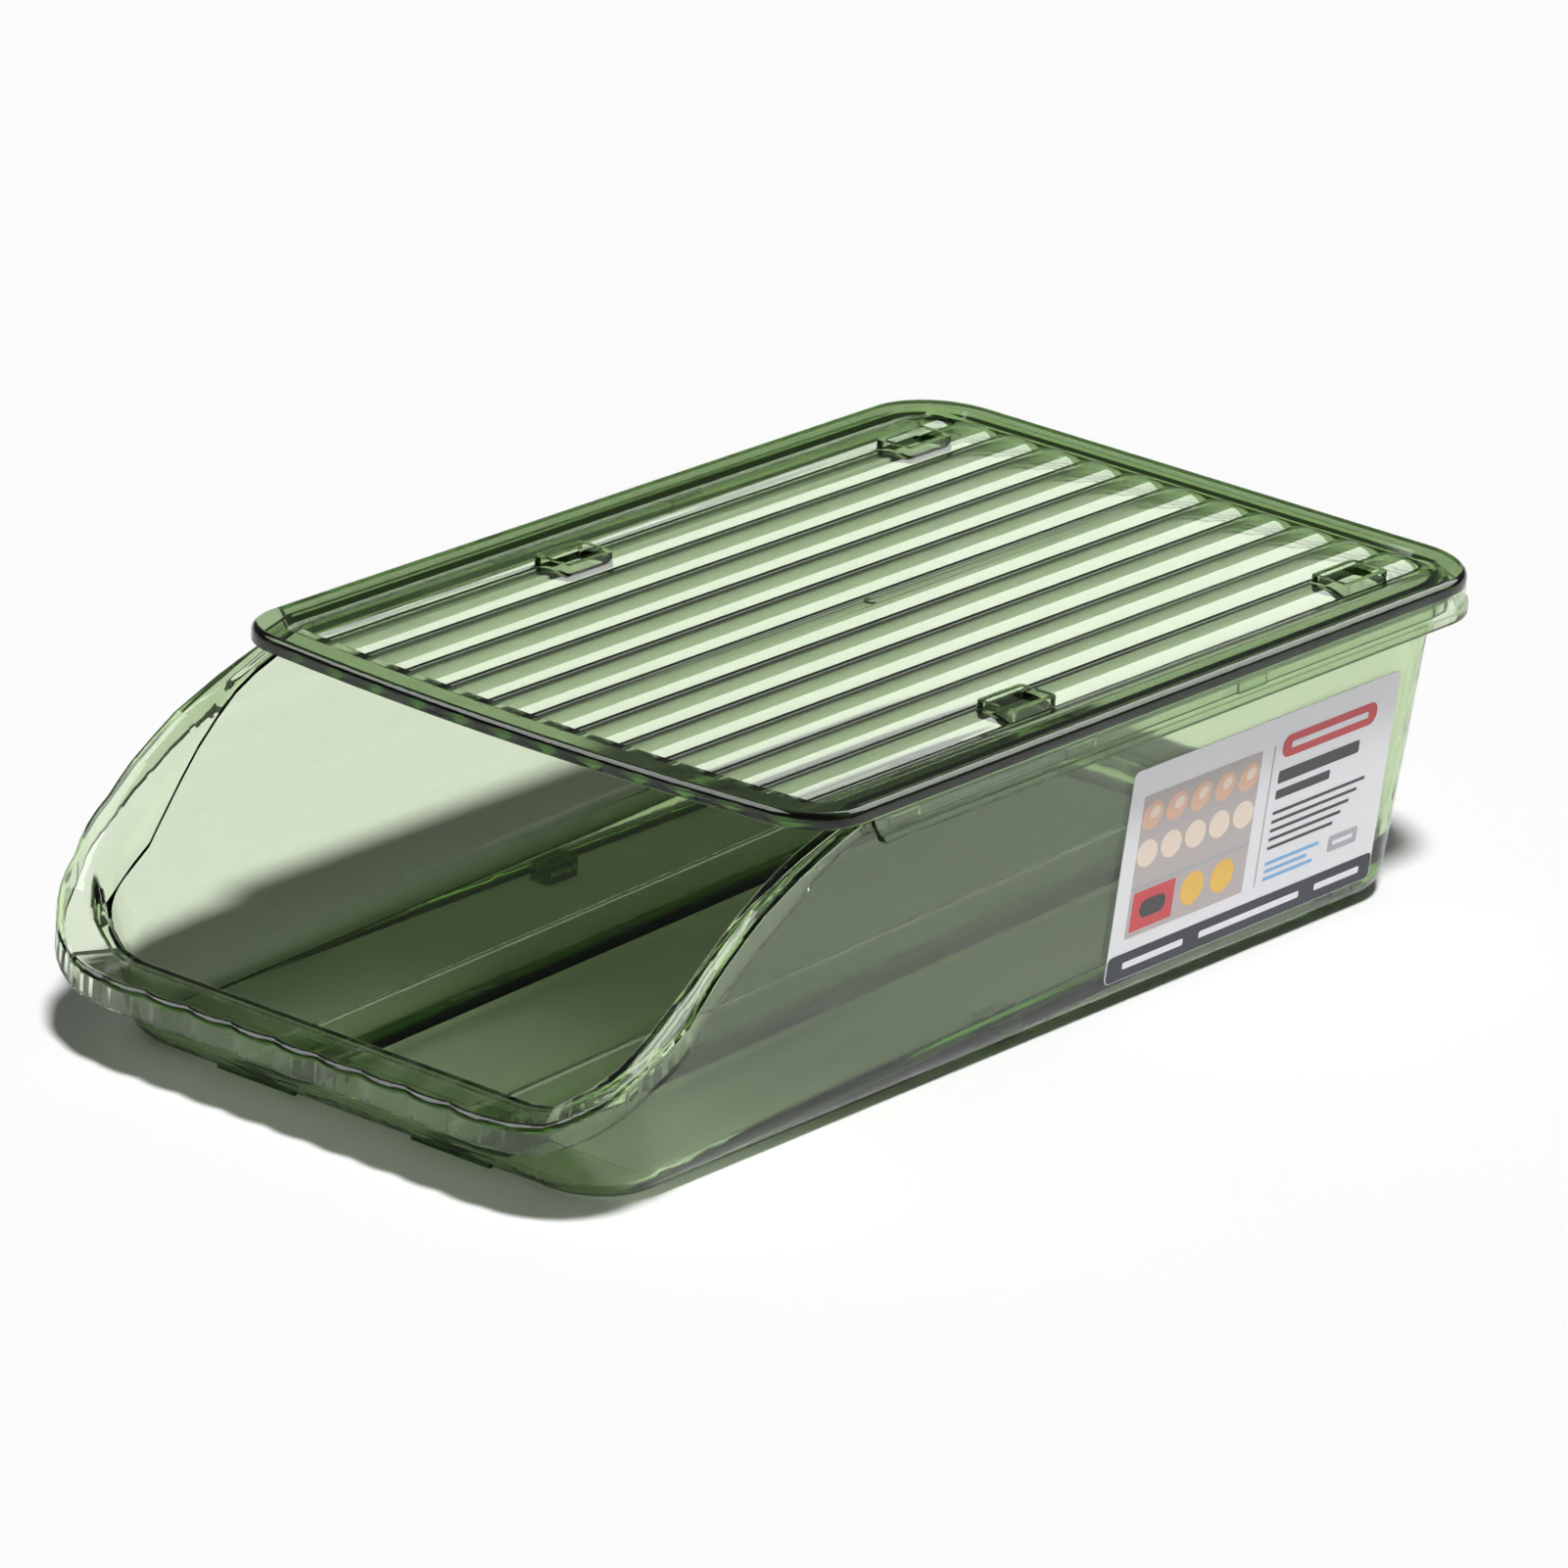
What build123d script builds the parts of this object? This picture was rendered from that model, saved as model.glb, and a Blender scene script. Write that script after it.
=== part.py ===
from build123d import *
from math import cos, hypot, radians, sin, sqrt, tan
import os

# Egg storage drawer: a translucent bin with a scooped front and a sloping floor, and a ribbed lid.
# Frame: origin under the middle of the whole, X across, Y from the scooped front to the back, Z up.
# All sizes are in millimetres.

# Bin walls
wall = 2.2
bottom_half_width = 83.0
side_draft = 4.4
front_foot_y = -160.5
front_draft = 19.5
rear_foot_y = 174.4
rear_draft = 3.3
corner_radius = 22.0
bottom_round = 9.5

# Bin floor, which rises to the back so that the eggs roll forward
floor_thickness = 2.2
floor_slope = 1.8
ridge_place = 31.5
ridge_width = 25.0
ridge_height = 2.8
foot_rib_width = 6.0
foot_rib_front = 25.0
foot_length = 13.0
foot_width = 7.0
foot_corner = 1.5

# Bin rim: a flange that follows the scoop, with its edge turned down
rim_top = 87.3
rim_side_flange = 3.7
rim_rear_flange = 2.0
rim_thickness = 2.4
rim_edge_thickness = 2.0
rim_edge_round = 1.8
rim_side_edge_height = 4.6
rim_flare = 1.2

# Lip: the faceted front of the rim, low enough to reach over
lip_drop = 60.9
lip_reach = 14.0
lip_edge_height = 7.4
lip_facets = 9
facet_bulge = 1.2

# Creases round the corner of the rim: distance back from the lip's front, drop below the rim's top,
# reach beyond the side wall, height of the turned edge, flare and angle of the crease in plan.
# The flare is the height over which the wall bends outward into the flange.
corner_creases = [
    (3.0, 59.4, -8.7, 7.6, 2.0, -72),
    (10.4, 52.3, 1.8, 8.0, 4.0, -46),
    (22.9, 42.3, 7.0, 8.5, 11.0, -20),
]
# Last crease, where the corner meets the straight wall
last_crease = (36.5, 31.1, 8.3, 9.0, 15.0)
last_crease_sweep = 2.0
# Smooth sides of the scoop, with the same five sizes as the last crease
scoop_sides = [
    (40.7, 27.1, 7.9, 9.3, 15.0),
    (45.2, 23.3, 7.5, 9.5, 13.5),
    (52.7, 18.3, 6.8, 9.7, 10.0),
    (59.7, 14.0, 6.2, 9.6, 7.0),
    (67.2, 10.8, 5.6, 9.0, 4.0),
    (74.2, 7.9, 5.1, 8.0, 2.0),
    (81.7, 5.3, 4.6, 5.8, rim_flare),
    (91.2, 2.3, 4.1, rim_side_edge_height, rim_flare),
]
scoop_length = 99.8

# Lid
lid_setback = 74.8
lid_bow = 6.0
lid_front_radius = 17.0
lid_rear_radius = 22.5
lid_seat_gap = 0.3
lid_rim_thickness = 4.0
lid_rim_width = 8.0
lid_shoulder_round = 2.0
ledge_drop = 1.8
ledge_slope_width = 1.0
panel_thickness = 2.2
skirt_thickness = 1.6
skirt_height = 11.1
skirt_lip = 1.0
skirt_lip_height = 2.2
skirt_setback = 30.0
skirt_front_lean = 33.0
skirt_gap = 1.0
lug_length = 12.0
lug_height = 3.0
lug_rise = 2.5
lug_root = 0.4
lug_gap = 0.3
lug_places = (-70.0, 2.0, 75.0)

# Ribbed panel of the lid: round-backed ribs that meet in sharp valleys
rib_count = 11
rib_height = 1.5
rib_set_down = 0.1
rib_side_inset = 18.8
rib_front_inset = 15.0
rib_rear_inset = 9.1
rib_end_wall = 1.6

# Stacking sockets on the lid, for the feet of a drawer on top
socket_side_inset = 24.0
socket_rear_inset = 35.0
socket_spacing = 144.0
socket_width = 12.0
socket_length = 19.0
socket_wall = 1.7
socket_corner = 1.5
pocket_corner = 0.8
socket_top_drop = 0.4
socket_floor_drop = 4.4
gate_mark_radius = 1.6
gate_mark_height = 0.5

# Label stuck to the right wall
label_length = 116.5
label_height = 59.7
label_thickness = 0.2
label_rear_inset = 21.6
label_bottom = 8.3
label_corner = 2.0

# Reach of cutting solids, past every face, and how far a solid runs past the faces that trim it
beyond = 400.0
clear = 15.0


def side_face(z):
    """Half width of the bin's outer walls at a height."""
    return bottom_half_width + z * tan(radians(side_draft))


def front_face(z):
    return front_foot_y - z * tan(radians(front_draft))


def rear_face(z):
    return rear_foot_y + z * tan(radians(rear_draft))


lip_top = rim_top - lip_drop
lip_front_y = front_face(lip_top) - lip_reach
lip_facet_width = 2 * (side_face(lip_top) - corner_radius) / lip_facets
scoop_end_y = lip_front_y + scoop_length
rim_half_width = side_face(rim_top) + rim_side_flange
rim_rear_y = rear_face(rim_top) + rim_rear_flange

lid_half_width = rim_half_width + skirt_gap + skirt_thickness
lid_rear_y = rim_rear_y + skirt_gap + skirt_thickness
lid_front_y = lip_front_y + lid_setback
lid_under = rim_top + lid_seat_gap
lid_top = lid_under + lid_rim_thickness
ledge_z = lid_top - ledge_drop
rib_top = ledge_z - rib_set_down
skirt_bottom = lid_top - skirt_height
rib_pitch = 2 * (lid_half_width - rib_side_inset) / rib_count
socket_x = lid_half_width - socket_side_inset
socket_ys = (lid_rear_y - socket_rear_inset - socket_spacing, lid_rear_y - socket_rear_inset)


def walls_loft(inset, low, high):
    """Solid inside the bin's drafted walls, moved inward by inset, between two heights."""
    sections = []
    for z in (low, high):
        half, front, rear = side_face(z) - inset, front_face(z) + inset, rear_face(z) - inset
        plan = RectangleRounded(2 * half, rear - front, corner_radius - inset)
        sections.append(Pos(0, (front + rear) / 2, z) * plan)
    return loft(sections, ruled=True)


def floor_plane(z):
    """Plane that rises to the back with the floor, through the bottom of the front wall at a height."""
    normal = (0, -sin(radians(floor_slope)), cos(radians(floor_slope)))
    return Plane(origin=(0, front_foot_y, z), x_dir=(1, 0, 0), z_dir=normal)


def round_bottom(shape, radius):
    return fillet(shape.faces().sort_by(Axis.Z)[0].edges(), radius)


def bin_cavity():
    inside = walls_loft(wall, -clear, rim_top + clear)
    above_floor = split(inside, bisect_by=floor_plane(floor_thickness), keep=Keep.TOP)
    return round_bottom(above_floor, bottom_round - wall)


def ridge(drop):
    """The right floor ridge as a solid with a round back, with its top lowered by drop."""
    low = -floor_thickness / 2
    left, right = ridge_place - ridge_width / 2, ridge_place + ridge_width / 2
    base = Polyline((left, 0), (left, low), (right, low), (right, 0))
    back = ThreePointArc((right, 0), (ridge_place, ridge_height), (left, 0))
    slope_frame = floor_plane(floor_thickness - drop)
    section = Plane(origin=slope_frame.origin, x_dir=(1, 0, 0), z_dir=-slope_frame.y_dir)
    return extrude(section * make_face([*base.edges(), back.edge()]), amount=-beyond)


def bin_underside():
    """Space below the floor, inside the foot rib that goes round the bottom."""
    inside = walls_loft(foot_rib_width, -clear, rim_top / 2)
    space = split(inside, bisect_by=floor_plane(0), keep=Keep.BOTTOM) + (ridge(floor_thickness) & inside)
    return space & Pos(0, front_foot_y + foot_rib_front + beyond / 2, 0) * Box(beyond, beyond, beyond)


def corner_point(z, angle):
    """Point of the inner wall face round the front right corner; angle 0 faces right, -90 the front."""
    radius = corner_radius - wall
    turn = radians(angle)
    x = side_face(z) - wall - radius + radius * cos(turn)
    y = front_face(z) + wall + radius + radius * sin(turn)
    return x, y


def between(first, second, t):
    return tuple(a + (b - a) * t for a, b in zip(first, second))


def facet_creases():
    """Creases of the lip and corner: inner and outer point, top z, height of the edge and flare."""
    straight_end, lip_inner_y = corner_point(lip_top, -90)
    creases = []
    for i in range(lip_facets // 2 + 1):
        x = (i + 0.5) * lip_facet_width
        inner = (min(x, straight_end), lip_inner_y)
        creases.append((inner, (x, lip_front_y), lip_top, lip_edge_height, rim_flare))
    for back, drop, reach, height, flare, angle in corner_creases:
        z = rim_top - drop
        outer = (side_face(z) + reach, lip_front_y + back)
        creases.append((corner_point(z, angle), outer, z, height, flare))
    back, drop, reach, height, flare = last_crease
    x, y, z = side_face(rim_top - drop), lip_front_y + back, rim_top - drop
    creases.append(((x - wall, y - last_crease_sweep), (x + reach, y), z, height, flare))
    return creases


def facet_stations():
    """Stations of the lip and corner, from the middle of the front, with facets that bulge."""
    creases = facet_creases()
    inner_y, level = creases[0][0][1], creases[0][2:]
    stations = [((0, inner_y), (0, lip_front_y - facet_bulge), *level)]
    quarter = lip_facet_width / 4
    stations.append(((quarter, inner_y), (quarter, lip_front_y - 0.75 * facet_bulge), *level))
    for first, second in zip(creases, creases[1:]):
        run_x, run_y = second[1][0] - first[1][0], second[1][1] - first[1][1]
        length = hypot(run_x, run_y)
        for t in (0, 0.25, 0.5, 0.75):
            bulge = 4 * facet_bulge * t * (1 - t) / length
            x, y = between(first[1], second[1], t)
            outer = (x + run_y * bulge, y - run_x * bulge)
            inner = between(first[0], second[0], t)
            stations.append((inner, outer, *between(first[2:], second[2:], t)))
    return stations + [creases[-1]]


def rim_stations():
    """Stations along the right half of the rim, from the middle of the front to that of the back."""
    stations = facet_stations()
    for back, drop, reach, height, flare in scoop_sides:
        x, y, z = side_face(rim_top - drop), lip_front_y + back, rim_top - drop
        stations.append(((x - wall, y), (x + reach, y), z, height, flare))
    inner_x, inner_y = side_face(rim_top) - wall, rear_face(rim_top) - wall
    radius = corner_radius - wall
    turn_x, turn_y = inner_x - radius, inner_y - radius
    level = (rim_top, rim_side_edge_height, rim_flare)
    stations.append(((inner_x, scoop_end_y), (rim_half_width, scoop_end_y), *level))
    for angle in range(0, 91, 15):
        c, s = cos(radians(angle)), sin(radians(angle))
        inner = (turn_x + radius * c, turn_y + radius * s)
        outer = (turn_x + (rim_half_width - turn_x) * c, turn_y + (rim_rear_y - turn_y) * s)
        stations.append((inner, outer, *level))
    stations.append(((0, inner_y), (0, rim_rear_y), *level))
    return stations


def across_rim(station):
    """Points in the upright plane through a station, by distance outward and drop from the top."""
    inner, outer, top = station[0], station[1], station[2]
    width = hypot(outer[0] - inner[0], outer[1] - inner[1])

    def place(u, drop):
        x, y = between(inner, outer, u / width)
        return Vector(x, y, top - drop)

    return place, width


def flare_curve(station, depth):
    """Curve from the wall outward into the flange, at a depth below the flange's top face."""
    place, width = across_rim(station)
    flare = station[4] + depth
    reach = min(flare, width - rim_edge_thickness - rim_edge_round / 4)
    bend = min(depth, 0.8 * reach)
    foot = bend - flare * tan(radians(side_draft))
    return Edge.make_bezier(place(foot, flare), place(bend, depth), place(reach, depth))


def rim_section(station):
    """Flange that flares out of the wall, with a rounded edge that turns down."""
    place, width = across_rim(station)
    height = station[3]
    on_arc = rim_edge_round * sin(radians(45))
    upper, lower = flare_curve(station, 0), flare_curve(station, rim_thickness)
    edge_root = place(width - rim_edge_thickness, rim_thickness)
    inside, outside = place(width - rim_edge_thickness, height), place(width, height)
    shoulder, side = place(width - rim_edge_round, 0), place(width, rim_edge_round)
    middle = place(width - rim_edge_round + on_arc, rim_edge_round - on_arc)
    edges = [
        upper,
        Edge.make_line(upper @ 1, shoulder),
        Edge.make_three_point_arc(shoulder, middle, side),
        Edge.make_line(side, outside),
        Edge.make_line(outside, inside),
        Edge.make_line(inside, edge_root),
        Edge.make_line(edge_root, lower @ 1),
        lower,
        Edge.make_line(lower @ 0, upper @ 0),
    ]
    return Wire(edges)


def scoop_section(station):
    """Section of the space above the rim, which starts inside the rim's thickness."""
    place, width = across_rim(station)
    curve = flare_curve(station, rim_thickness / 2)
    high = station[2] - rim_top - clear
    low_drop = station[4] + rim_thickness / 2
    corners = [
        curve @ 1,
        place(width + clear, rim_thickness / 2),
        place(width + clear, high),
        place(-clear, high),
        place(-clear, low_drop),
        curve @ 0,
    ]
    return Wire([curve, *[Edge.make_line(a, b) for a, b in zip(corners, corners[1:])]])


def make_bin():
    """The right half of the bin is built and mirrored."""
    stations = rim_stations()
    scooped = [station for station in stations if station[1][1] <= scoop_end_y]
    scoop = Solid.make_loft([scoop_section(station) for station in scooped], ruled=True)
    rim = Solid.make_loft([rim_section(station) for station in stations], ruled=True)
    walls = round_bottom(walls_loft(0, 0, rim_top - rim_thickness / 3), bottom_round)
    right_side = Pos(beyond / 2, 0, 0) * Box(beyond, 2 * beyond, beyond)
    cavity = bin_cavity()
    half = (walls & right_side) - cavity - scoop
    half = half + (rim - cavity) - bin_underside()
    half += ridge(0) & walls_loft(wall / 2, 0, rim_top / 2)
    foot_plan = RectangleRounded(foot_width, foot_length, foot_corner)
    for y in socket_ys:
        top = (y - front_foot_y) * tan(radians(floor_slope)) + floor_thickness / 2
        half += Pos(socket_x, y, 0) * extrude(foot_plan, amount=top)
    return half + mirror(half, about=Plane.YZ)


def lid_outline(side, rear, front):
    """Plan of the lid with a bowed front, moved inward by the three insets."""
    half = lid_half_width - side
    back = lid_rear_y - rear
    middle = lid_front_y + front
    ends = middle + lid_bow * (half / lid_half_width) ** 2
    sides = Polyline((half, ends), (half, back), (-half, back), (-half, ends))
    bow = ThreePointArc((-half, ends), (0, middle), (half, ends))
    plan = make_face([*sides.edges(), bow.edge()])
    plan = fillet(plan.vertices().sort_by(Axis.Y)[-2:], max(lid_rear_radius - rear, 2))
    return fillet(plan.vertices().sort_by(Axis.Y)[:2], max(lid_front_radius - front, 2))


def lid_prism(inset, low, high):
    return Pos(0, 0, low) * extrude(lid_outline(inset, inset, inset), amount=high - low)


def above_ribs(crest_z, top_z):
    """Solid that lies on the row of ribs, with half a rib more at each end."""
    half = rib_count * rib_pitch / 2
    end = half + rib_pitch / 2
    valley_z = crest_z - rib_height
    back_radius = (rib_pitch ** 2 / 4 + rib_height ** 2) / (2 * rib_height)
    quarter_z = crest_z - back_radius + sqrt(back_radius ** 2 - rib_pitch ** 2 / 16)
    edges = [*Polyline((-end, crest_z), (-end, top_z), (end, top_z), (end, crest_z)).edges()]
    for side in (-1, 1):
        on_back = (side * (end - rib_pitch / 4), quarter_z)
        edges.append(ThreePointArc((side * end, crest_z), on_back, (side * half, valley_z)).edge())
    for i in range(rib_count):
        left = -half + i * rib_pitch
        middle = (left + rib_pitch / 2, crest_z)
        edges.append(ThreePointArc((left, valley_z), middle, (left + rib_pitch, valley_z)).edge())
    return extrude(Plane.XZ * make_face(edges), amount=beyond, both=True)


def rib_zone(grow):
    plan = lid_outline(lid_rim_width, rib_rear_inset - grow, rib_front_inset - grow)
    return Pos(0, 0, skirt_bottom) * extrude(plan, amount=lid_top + clear - skirt_bottom)


def lid_skirt():
    """Skirt round the sides and back, with a thicker bottom lip and leaning front ends."""
    top = lid_under + lid_rim_thickness / 2
    ring = lid_prism(0, skirt_bottom, top) - lid_prism(skirt_thickness, skirt_bottom, top)
    lip_high = skirt_bottom + skirt_lip_height
    lip = lid_prism(-skirt_lip, skirt_bottom, lip_high)
    lip -= lid_prism(skirt_thickness / 2, skirt_bottom, lip_high)
    lean = tan(radians(skirt_front_lean))
    skirt_front_y = lid_front_y + skirt_setback
    low, high = skirt_bottom - clear, lid_top + clear
    in_front = Polyline(
        (lid_front_y - clear, low),
        (skirt_front_y + clear * lean, low),
        (skirt_front_y - (high - skirt_bottom) * lean, high),
        (lid_front_y - clear, high),
        close=True,
    )
    return ring + lip - extrude(Plane.YZ * make_face(in_front), amount=beyond, both=True)


def make_lid():
    plate = lid_prism(0, lid_under, lid_top)
    plate = fillet(plate.faces().sort_by(Axis.Z)[-1].edges(), lid_shoulder_round)
    step = lid_rim_width + ledge_slope_width
    floor_plan = Pos(0, 0, ledge_z) * lid_outline(step, step, step)
    wide = step - 2 * ledge_slope_width
    mouth_plan = Pos(0, 0, ledge_z + 2 * ledge_drop) * lid_outline(wide, wide, wide)
    body = plate - loft([floor_plan, mouth_plan], ruled=True)
    inside_bin = walls_loft(wall + skirt_gap, lid_under - clear, lid_under + clear)
    panel = above_ribs(rib_top - panel_thickness, ledge_z - panel_thickness / 2)
    body += panel & rib_zone(rib_end_wall) & inside_bin
    body -= above_ribs(rib_top, lid_top + clear) & rib_zone(0)
    body += lid_skirt()
    socket_top = lid_top - socket_top_drop
    socket_low = rib_top - panel_thickness - rib_height
    ring_plan = RectangleRounded(socket_width, socket_length, socket_corner)
    ring = extrude(ring_plan, amount=socket_top - socket_low)
    pocket_width, pocket_length = socket_width - 2 * socket_wall, socket_length - 2 * socket_wall
    pocket_plan = RectangleRounded(pocket_width, pocket_length, pocket_corner)
    pocket = extrude(pocket_plan, amount=2 * socket_floor_drop)
    for x in (-socket_x, socket_x):
        for y in socket_ys:
            body += Pos(x, y, socket_low) * ring
            body -= Pos(x, y, socket_top - socket_floor_drop) * pocket
    gate_mark = Cylinder(gate_mark_radius, 2 * gate_mark_height)
    body += Pos(0, (lid_front_y + lid_rear_y) / 2, rib_top) * gate_mark
    lug_depth = skirt_gap - lug_gap + lug_root
    lug_x = lid_half_width - skirt_thickness + lug_root - lug_depth / 2
    for x in (-lug_x, lug_x):
        for y in lug_places:
            lug = Box(lug_depth, lug_length, lug_height)
            body += Pos(x, y, skirt_bottom + lug_rise + lug_height / 2) * lug
    return body


def make_label():
    """Thin sheet lying on the leaning right wall."""
    turn = radians(side_draft)
    middle_y = rear_foot_y - label_rear_inset - label_length / 2
    middle_z = label_bottom + label_height / 2 * cos(turn)
    on_wall = Plane(
        origin=(side_face(middle_z), middle_y, middle_z),
        x_dir=(0, 1, 0),
        z_dir=(cos(turn), 0, -sin(turn)),
    )
    sheet = RectangleRounded(label_length, label_height, label_corner)
    return extrude(on_wall * sheet, amount=label_thickness)


os.makedirs("parts", exist_ok=True)
export_step(make_bin(), "parts/bin.step")
export_step(make_lid(), "parts/lid.step")
export_step(make_label(), "parts/label.step")
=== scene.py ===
import math

import bpy
from mathutils import Matrix, Quaternion, Vector


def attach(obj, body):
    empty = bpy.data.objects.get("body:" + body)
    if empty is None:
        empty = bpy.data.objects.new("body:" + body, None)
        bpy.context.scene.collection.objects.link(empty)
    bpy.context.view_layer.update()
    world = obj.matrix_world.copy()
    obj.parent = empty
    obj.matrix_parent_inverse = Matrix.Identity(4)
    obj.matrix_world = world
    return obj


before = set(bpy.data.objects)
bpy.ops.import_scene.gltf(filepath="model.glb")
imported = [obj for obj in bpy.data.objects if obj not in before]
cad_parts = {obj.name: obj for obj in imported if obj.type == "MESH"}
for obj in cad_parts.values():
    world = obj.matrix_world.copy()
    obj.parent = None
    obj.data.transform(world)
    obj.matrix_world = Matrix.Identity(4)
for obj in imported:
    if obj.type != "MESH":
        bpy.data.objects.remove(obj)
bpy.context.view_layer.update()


# Bin: one injection moulding in clear grey-green plastic, glossy all over. The tint comes from the
# thickness of the plastic, so edges and places where two walls lie behind each other are darker.
def clear_plastic(name, absorbed, density, roughness):
    material = bpy.data.materials.new(name)
    material.use_nodes = True
    nodes, links = material.node_tree.nodes, material.node_tree.links
    shader = nodes["Principled BSDF"]
    shader.inputs["Base Color"].default_value = (1.0, 1.0, 1.0, 1.0)
    shader.inputs["Transmission Weight"].default_value = 1.0
    shader.inputs["Roughness"].default_value = roughness
    shader.inputs["IOR"].default_value = 1.49
    tint = nodes.new("ShaderNodeVolumeAbsorption")
    tint.inputs["Color"].default_value = absorbed
    tint.inputs["Density"].default_value = density
    links.new(tint.outputs["Volume"], nodes["Material Output"].inputs["Volume"])
    return material


bin_plastic = clear_plastic("clear_grey_green_plastic", (0.48, 0.69, 0.25, 1.0), 215.0, 0.02)
bin_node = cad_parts["bin"]
bin_node.data.materials.clear()
bin_node.data.materials.append(bin_plastic)

# Lid: the same kind of plastic with a deeper tint. Its round-backed ribs catch the light on one flank
# and show as thin dark lines in the valleys between them.
lid_plastic = clear_plastic("clear_grey_green_lid_plastic", (0.48, 0.66, 0.3, 1.0), 300.0, 0.03)
lid_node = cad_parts["lid"]
lid_node.data.materials.clear()
lid_node.data.materials.append(lid_plastic)


# Label: a white film stuck to the right wall. Its print is plain bars and a picture of discs, with
# each colour a thin sheet that stands 0.02 mm off the film.
def ink(name, colour):
    material = bpy.data.materials.new(name)
    material.use_nodes = True
    shader = material.node_tree.nodes["Principled BSDF"]
    shader.inputs["Base Color"].default_value = (*colour, 1.0)
    shader.inputs["Roughness"].default_value = 0.35
    return material


label_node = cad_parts["label"]
label_node.data.materials.clear()
label_node.data.materials.append(ink("label_film", (0.83, 0.83, 0.86)))

film_middle = Vector((0.0859287, 0.09455, 0.038062))
film_length, film_height = 0.1165, 0.0597
film_lean = math.radians(4.4)
along_film = Vector((0.0, 1.0, 0.0))
up_film = Vector((math.sin(film_lean), 0.0, math.cos(film_lean)))
out_of_film = along_film.cross(up_film)
film_thickness, ink_thickness = 0.2, 0.04
film_corner = film_middle - film_length / 2 * along_film - film_height / 2 * up_film
millimetre = 0.001


def print_patch(shape, u, v, width, height, corner, layer, turn):
    """One patch of print, in millimetres from the film's lower front corner."""
    bpy.ops.object.select_all(action="DESELECT")
    if shape == "bar":
        bpy.ops.mesh.primitive_plane_add(size=1.0)
    else:
        bpy.ops.mesh.primitive_circle_add(vertices=36, radius=0.5, fill_type="NGON")
    patch = bpy.context.object
    patch.scale = (width, height, 1.0)
    bpy.ops.object.transform_apply(location=False, rotation=False, scale=True)
    bpy.ops.object.mode_set(mode="EDIT")
    bpy.ops.mesh.select_all(action="SELECT")
    if corner:
        bpy.ops.mesh.bevel(offset=corner, segments=4, affect="VERTICES")
        bpy.ops.mesh.select_all(action="SELECT")
    bpy.ops.mesh.extrude_region_move(TRANSFORM_OT_translate={"value": (0.0, 0.0, ink_thickness)})
    bpy.ops.mesh.select_all(action="SELECT")
    bpy.ops.mesh.normals_make_consistent(inside=False)
    bpy.ops.object.mode_set(mode="OBJECT")
    above_wall = film_thickness + layer * ink_thickness - 0.5 * ink_thickness
    axes = Matrix((along_film, up_film, out_of_film)).transposed().to_4x4()
    spot = film_corner + millimetre * (u * along_film + v * up_film + above_wall * out_of_film)
    spin = Matrix.Rotation(math.radians(turn), 4, "Z")
    patch.matrix_world = Matrix.Translation(spot) @ axes @ spin @ Matrix.Scale(millimetre, 4)
    bpy.ops.object.transform_apply(location=True, rotation=True, scale=True)
    return patch


def print_colour(name, colour, patches):
    """All patches of one colour as one printed piece on the label."""
    made = [print_patch(*patch) for patch in patches]
    bpy.ops.object.select_all(action="DESELECT")
    for patch in made:
        patch.select_set(True)
    bpy.context.view_layer.objects.active = made[0]
    if len(made) > 1:
        bpy.ops.object.join()
    piece = bpy.context.object
    piece.name = name
    piece.data.materials.append(ink(name + "_ink", colour))
    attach(piece, "bin")


print_colour("label_navy_print", (0.012, 0.016, 0.03), [("bar", 58.25, 3.9, 115.9, 7.4, 1.6, 1, 0)])
print_colour("label_picture_ground", (0.5, 0.45, 0.44), [("bar", 31.5, 31.5, 51.0, 40.0, 0.6, 1, 0)])
print_colour("label_red_print", (0.62, 0.05, 0.06), [
    ("bar", 87.0, 50.0, 42.0, 6.4, 3.0, 1, 0),
    ("bar", 16.5, 18.6, 18.0, 11.0, 0.6, 2, 0),
])
discs = [(10.5 + 10.4 * i, 45.4 - 10.6 * j) for i in range(5) for j in range(2)]
print_colour("label_shell_print", (0.78, 0.5, 0.36), [
    ("disc", u, v, 9.2, 7.6, 0, 2, 20) for u, v in discs[0::2]
])
print_colour("label_cream_print", (0.86, 0.72, 0.6), [
    ("disc", u, v, 9.2, 7.6, 0, 2, -20) for u, v in discs[1::2]
] + [("disc", u + 0.9, v + 0.8, 4.2, 3.2, 0, 3, 20) for u, v in discs[0::2]])
print_colour("label_yellow_print", (0.85, 0.52, 0.08), [
    ("disc", 33.5, 19.0, 10.0, 9.4, 0, 2, 0),
    ("disc", 46.5, 19.0, 10.0, 9.4, 0, 2, 0),
])
print_colour("label_black_print", (0.035, 0.035, 0.04), [
    ("bar", 84.0, 41.6, 36.0, 3.6, 0.5, 1, 0),
    ("bar", 78.0, 36.6, 24.0, 2.6, 0.4, 1, 0),
    ("bar", 16.5, 18.6, 11.0, 5.0, 2.4, 3, 0),
] + [("bar", 86.5 - 1.5 * i, 31.4 - 2.5 * i, 41.0 - 3.0 * i, 0.9, 0.2, 1, 0) for i in range(5)])
print_colour("label_grey_print", (0.42, 0.43, 0.45), [
    ("bar", 101.0, 15.2, 13.0, 4.6, 0.8, 1, 0),
    ("bar", 62.5, 31.5, 0.6, 40.0, 0.2, 1, 0),
    ("bar", 31.5, 25.4, 51.0, 1.1, 0.2, 2, 0),
])
print_colour("label_blue_print", (0.2, 0.45, 0.75), [
    ("bar", 78.0, 17.0, 24.0, 1.0, 0.3, 1, 0),
    ("bar", 75.5, 14.8, 19.0, 1.0, 0.3, 1, 0),
    ("bar", 77.0, 12.6, 22.0, 1.0, 0.3, 1, 0),
])
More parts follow.
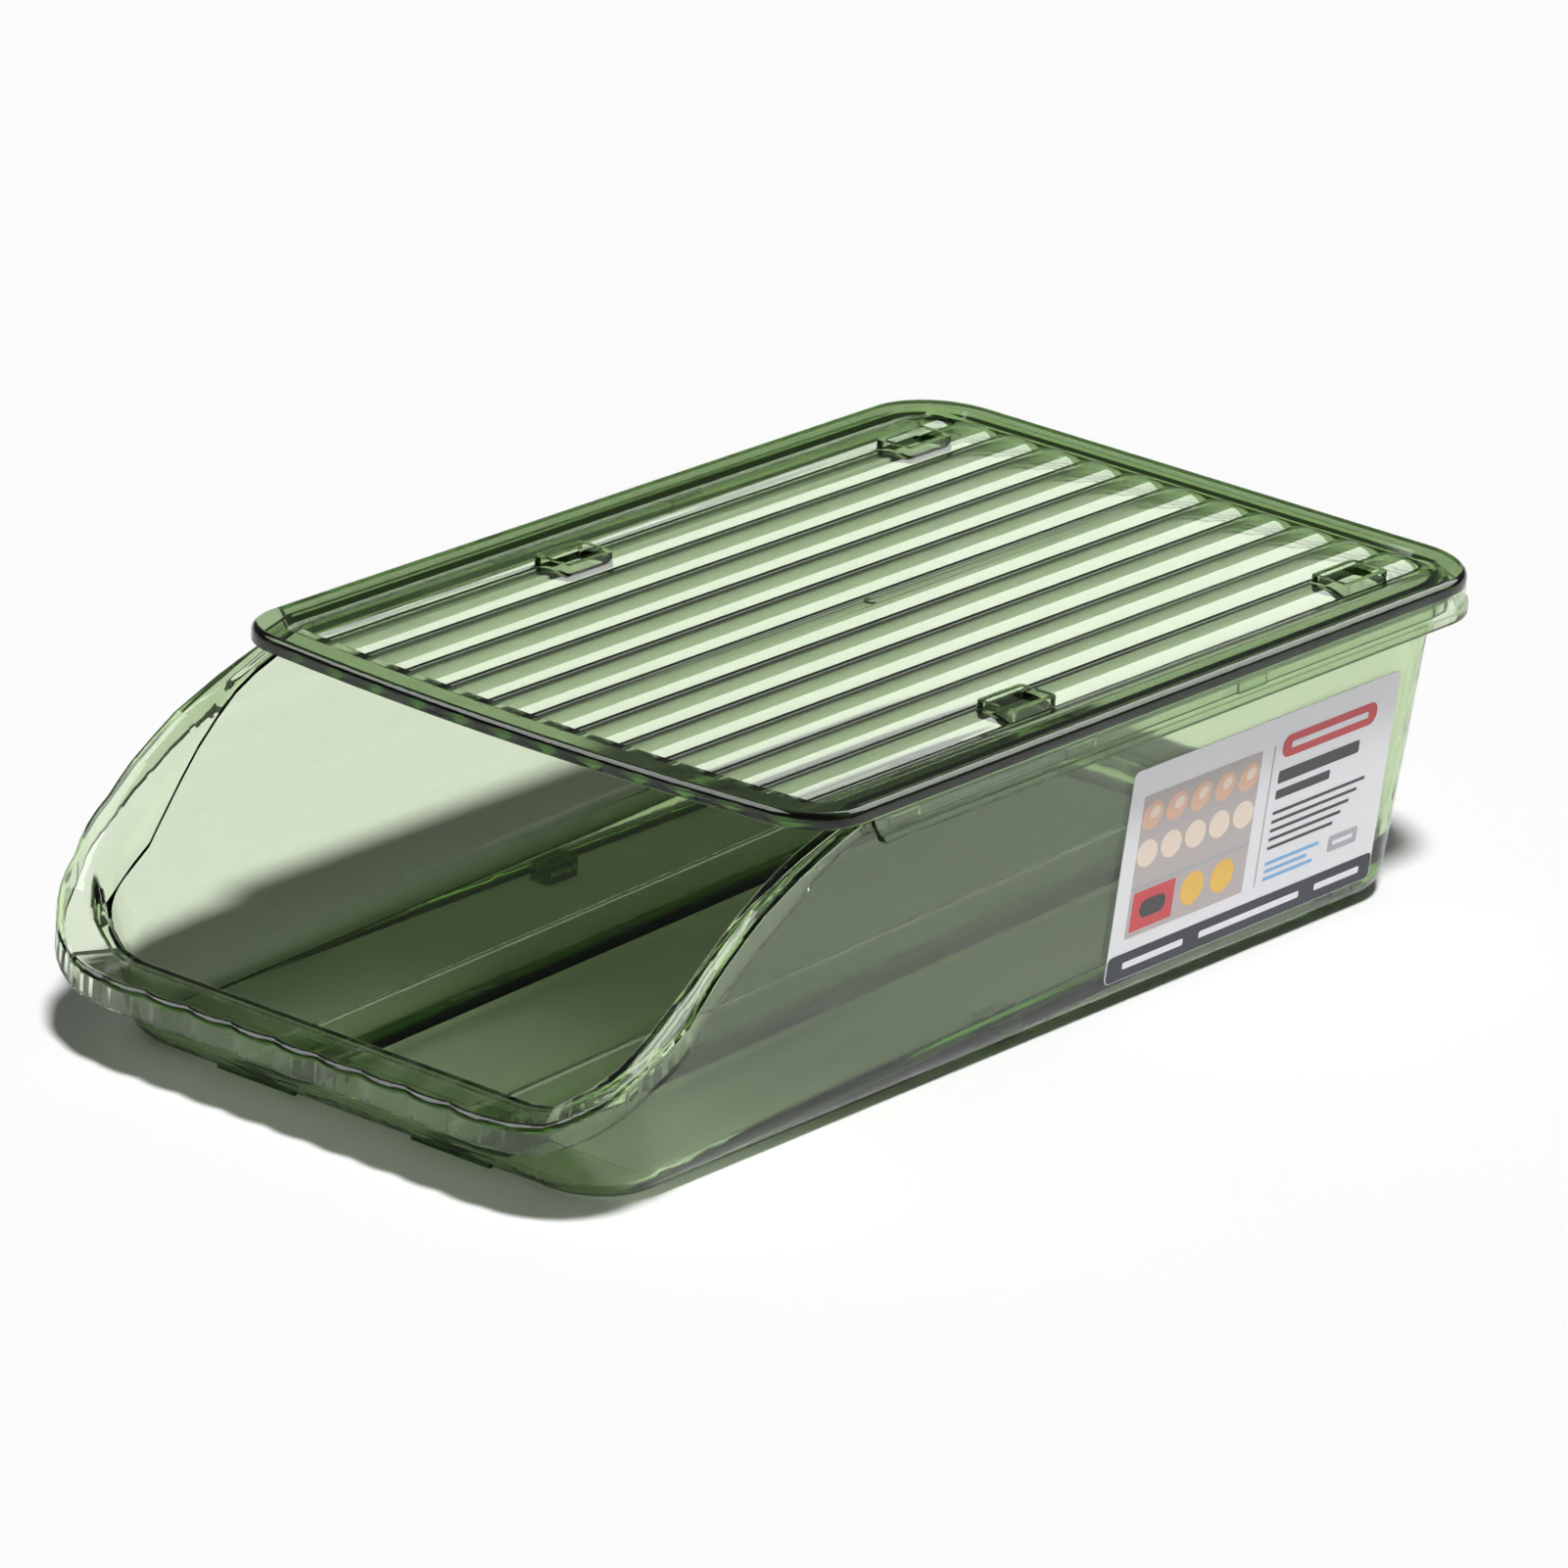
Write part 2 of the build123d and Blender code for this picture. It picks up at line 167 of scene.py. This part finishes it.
print_colour("label_white_print", (0.83, 0.83, 0.86), [
    ("bar", 87.0, 50.0, 34.0, 1.8, 0.5, 2, 0),
    ("bar", 20.0, 3.9, 26.0, 1.9, 0.5, 2, 0),
    ("bar", 62.0, 3.9, 44.0, 1.9, 0.5, 2, 0),
    ("bar", 101.0, 3.9, 20.0, 1.9, 0.5, 2, 0),
    ("bar", 101.0, 15.2, 9.0, 1.2, 0.3, 2, 0),
])

# Floor: pale and plain, wide enough to run out of every view.
bpy.ops.object.select_all(action="DESELECT")
bpy.ops.mesh.primitive_plane_add(size=12.0, location=(0, 0, -0.0002))
floor = bpy.context.object
floor.name = "floor"
pale = bpy.data.materials.new("pale_floor")
pale.use_nodes = True
pale.node_tree.nodes["Principled BSDF"].inputs["Base Color"].default_value = (0.9, 0.9, 0.9, 1.0)
pale.node_tree.nodes["Principled BSDF"].inputs["Roughness"].default_value = 0.9
pale.node_tree.nodes["Principled BSDF"].inputs["Specular IOR Level"].default_value = 0.0
floor.data.materials.append(pale)

# World: white to the camera. Mirror images and the view through the plastic find it white near the
# horizon and dim above, as in a dark room with a lit backdrop. As a lamp it is weak, so that the
# drawer keeps its shadow.
world = bpy.data.worlds.new("studio")
bpy.context.scene.world = world
world.use_nodes = True
nodes, links = world.node_tree.nodes, world.node_tree.links
backdrop = nodes["Background"]
backdrop.inputs["Color"].default_value = (1.0, 1.0, 1.0, 1.0)
path = nodes.new("ShaderNodeLightPath")
direction = nodes.new("ShaderNodeTexCoord")
height = nodes.new("ShaderNodeSeparateXYZ")
links.new(direction.outputs["Generated"], height.inputs[0])
by_height = nodes.new("ShaderNodeMapRange")
by_height.interpolation_type = "SMOOTHSTEP"
by_height.inputs["From Min"].default_value = 0.02
by_height.inputs["From Max"].default_value = 0.14
by_height.inputs["To Min"].default_value = 1.0
by_height.inputs["To Max"].default_value = 0.1
links.new(height.outputs["Z"], by_height.inputs["Value"])
clear_view = nodes.new("ShaderNodeMath")
clear_view.operation = "MAXIMUM"
links.new(path.outputs["Is Glossy Ray"], clear_view.inputs[0])
links.new(path.outputs["Is Transmission Ray"], clear_view.inputs[1])
from_matt = nodes.new("ShaderNodeMath")
from_matt.operation = "GREATER_THAN"
from_matt.inputs[1].default_value = 0.5
links.new(path.outputs["Diffuse Depth"], from_matt.inputs[0])
ambient = 0.1
seen_in_plastic = nodes.new("ShaderNodeMix")
seen_in_plastic.inputs["A"].default_value = ambient
links.new(clear_view.outputs[0], seen_in_plastic.inputs["Factor"])
links.new(by_height.outputs["Result"], seen_in_plastic.inputs["B"])
on_matt = nodes.new("ShaderNodeMix")
on_matt.inputs["B"].default_value = ambient
links.new(from_matt.outputs[0], on_matt.inputs["Factor"])
links.new(seen_in_plastic.outputs["Result"], on_matt.inputs["A"])
to_camera = nodes.new("ShaderNodeMix")
to_camera.inputs["B"].default_value = 1.0
links.new(path.outputs["Is Camera Ray"], to_camera.inputs["Factor"])
links.new(on_matt.outputs["Result"], to_camera.inputs["A"])
links.new(to_camera.outputs["Result"], backdrop.inputs["Strength"])


# Lamps: a key lamp high behind the camera, which keeps the shadow behind the drawer. Its light is not
# followed through the clear plastic, so the ground under the drawer stays dark, and so does the back
# of the label. The soft boxes are only mirrored, for the white flanks of the ribs and faint lines on
# rounded edges.
def towards(azimuth, elevation):
    around, up = math.radians(azimuth), math.radians(elevation)
    return Vector((math.cos(around) * math.cos(up), math.sin(around) * math.cos(up), math.sin(up)))


def mirrored_box(name, azimuth, elevation, distance, width, height, radiance):
    """A soft box with stepped edges, made of four boxes inside each other."""
    for step in range(4):
        shrink = 1.0 - 0.14 * step
        lamp = bpy.data.lights.new(name, "AREA")
        lamp.shape = "RECTANGLE"
        lamp.size, lamp.size_y = width * shrink, height * shrink
        lamp.energy = math.pi * lamp.size * lamp.size_y * radiance / 4
        holder = bpy.data.objects.new(name, lamp)
        bpy.context.scene.collection.objects.link(holder)
        holder.location = distance * towards(azimuth, elevation)
        holder.rotation_euler = towards(azimuth, elevation).to_track_quat("Z", "Y").to_euler()
        holder.visible_camera = False
        holder.visible_diffuse = False
        holder.visible_transmission = False


key = bpy.data.lights.new("key", "SUN")
key.energy = 3.4
key.angle = math.radians(8.0)
key.cycles.use_multiple_importance_sampling = False
key_holder = bpy.data.objects.new("key", key)
bpy.context.scene.collection.objects.link(key_holder)
key_holder.rotation_euler = towards(-45.0, 64.0).to_track_quat("Z", "Y").to_euler()
key_holder.visible_glossy = False
key_holder.visible_transmission = False
mirrored_box("box_front_left", -145.0, 54.0, 1.6, 1.3, 1.0, 20.0)
mirrored_box("box_back_right", 84.0, 43.0, 1.6, 1.5, 0.9, 17.0)

# Camera: the photograph's long lens, seen from the front right and rolled a little.
camera_data = bpy.data.cameras.new("camera")
camera_data.sensor_width = 36.0
camera_data.lens = 243.1
camera_data.clip_end = 20.0
camera = bpy.data.objects.new("camera", camera_data)
bpy.context.scene.collection.objects.link(camera)
target, distance, roll = Vector((-0.00185, 0.0089, 0.04625)), 2.7153, math.radians(4.05)
sight = towards(-53.0, 20.26)
camera.location = target + distance * sight
camera.rotation_euler = ((-sight).to_track_quat("-Z", "Y") @ Quaternion((0, 0, 1), roll)).to_euler()
bpy.context.scene.camera = camera
bpy.context.scene.view_settings.view_transform = "Standard"
